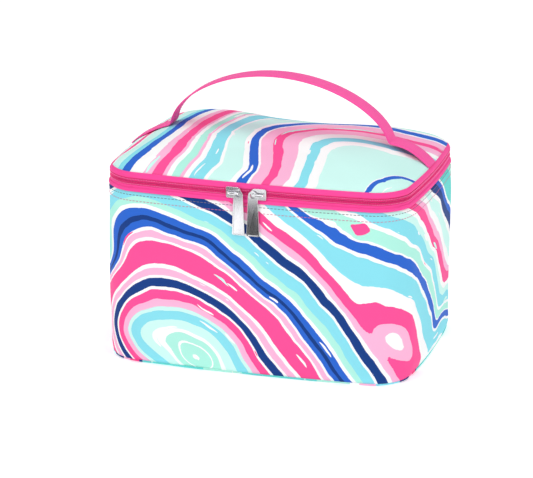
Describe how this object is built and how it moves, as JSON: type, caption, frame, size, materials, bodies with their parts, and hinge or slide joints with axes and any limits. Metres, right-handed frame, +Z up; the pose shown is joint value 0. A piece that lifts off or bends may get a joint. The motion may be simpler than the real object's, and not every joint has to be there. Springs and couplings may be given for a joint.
{
  "type": "makeup train case",
  "caption": "Soft zip-top train case: padded box body, padded lid on a fabric hinge, two-way zip with metal pulls, folding webbing carry handle.",
  "frame": {"origin": "centre of the underside, on the face that the case rests on", "axes": "+Z up, -Y towards the front where the zip sliders meet, +Y towards the lid's hinge, +X to the right seen from the front"},
  "size_m": [0.2786, 0.2007, 0.2449],
  "materials": {
    "printed_cloth": "matte",
    "piping": "satin",
    "stiffener_board": "matte",
    "foam": "matte",
    "lining": "satin",
    "binding": "matte",
    "zip_tape": "matte",
    "zip_coil": "satin",
    "webbing": "satin",
    "chromed_metal": "polished"
  },
  "bodies": {
    "case": {"base_panel": "printed_cloth", "base_piping": "piping", "base_board": "stiffener_board", "base_lining": "lining", "wall_panel": "printed_cloth", "wall_foam": "foam", "wall_lining": "lining", "case_seam_binding": "binding", "lower_zip_tape": "zip_tape", "lower_zip_coil": "zip_coil"},
    "lid": {"lid_panel": "printed_cloth", "lid_foam": "foam", "lid_lining": "lining", "lid_seam_binding": "binding", "upper_zip_tape": "zip_tape", "upper_zip_coil": "zip_coil", "hinge_band": "zip_tape", "handle_tail_left": "webbing", "handle_tail_right": "webbing"},
    "handle": {"handle_strap": "webbing"},
    "slider_left": {"slider_left_body": "chromed_metal", "slider_left_crown": "chromed_metal"},
    "slider_right": {"slider_right_body": "chromed_metal", "slider_right_crown": "chromed_metal"},
    "pull_left": {"pull_left": "chromed_metal"},
    "pull_right": {"pull_right": "chromed_metal"}
  },
  "joints": [
    {"name": "lid_hinge", "type": "hinge", "parent": "case", "child": "lid", "pos_m": [0, 0.0953, 0.1585], "axis": [-1, 0, 0], "range_deg": [0, 110]},
    {"name": "handle_fold", "type": "hinge", "parent": "lid", "child": "handle", "pos_m": [0, 0, 0.202], "axis": [1, 0, 0], "range_deg": [-75, 75]},
    {"name": "slider_left_travel", "type": "slide", "parent": "case", "child": "slider_left", "axis": [-0.9994, 0.0335, 0], "range_m": [0, 0.085]},
    {"name": "slider_right_travel", "type": "slide", "parent": "case", "child": "slider_right", "axis": [0.9994, 0.0335, 0], "range_m": [0, 0.085]},
    {"name": "pull_left_swing", "type": "hinge", "parent": "slider_left", "child": "pull_left", "pos_m": [-0.00753, -0.1032, 0.165], "axis": [0.0335, 0.9994, 0], "range_deg": [0, 45]},
    {"name": "pull_right_swing", "type": "hinge", "parent": "slider_right", "child": "pull_right", "pos_m": [0.00553, -0.10322, 0.165], "axis": [0.0335, -0.9994, 0], "range_deg": [0, 45]}
  ]
}
